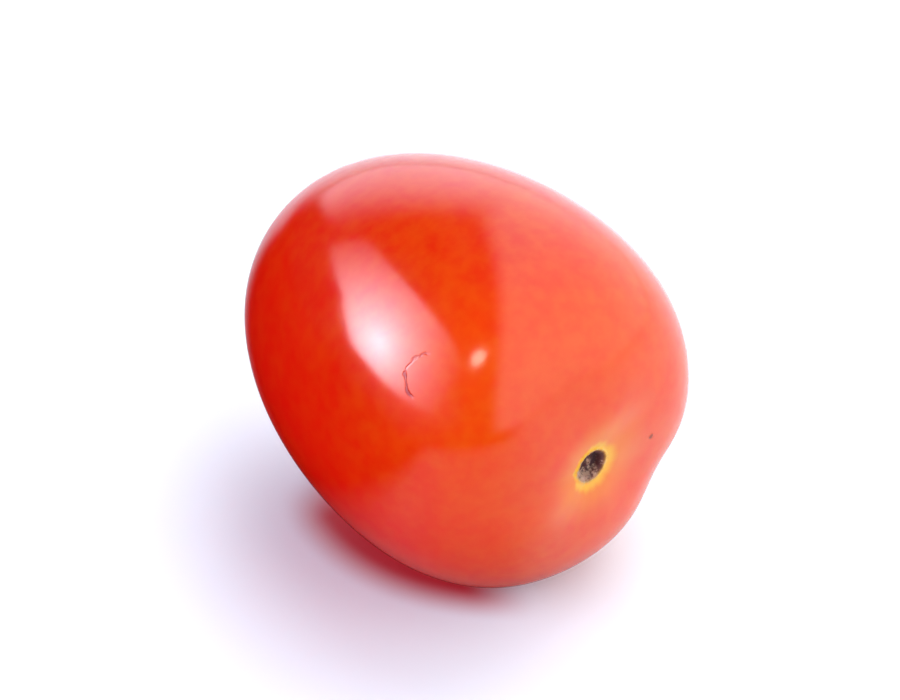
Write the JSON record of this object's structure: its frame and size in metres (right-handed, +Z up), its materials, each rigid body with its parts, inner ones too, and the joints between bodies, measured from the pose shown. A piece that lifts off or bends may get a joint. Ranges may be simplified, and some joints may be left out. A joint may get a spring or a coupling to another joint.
{
  "type": "cherry tomato",
  "caption": "Whole ripe plum-shaped cherry tomato without its green cap, lying on its side, with a corky stem scar in a shallow hollow.",
  "frame": {"origin": "under the middle of the fruit's box, on the surface it rests on", "axes": "+Z up; +Y along the long axis, towards the blossom end, so the stem scar faces -Y; +X to the right of somebody who faces the scar"},
  "size_m": [0.0274, 0.0338, 0.0282],
  "materials": {
    "skin": "smooth, glossy, slightly translucent ripe skin, orange-red, with a yellow halo and brown cork at the stem scar"
  },
  "bodies": {
    "root": {"tomato": "skin"}
  },
  "joints": []
}
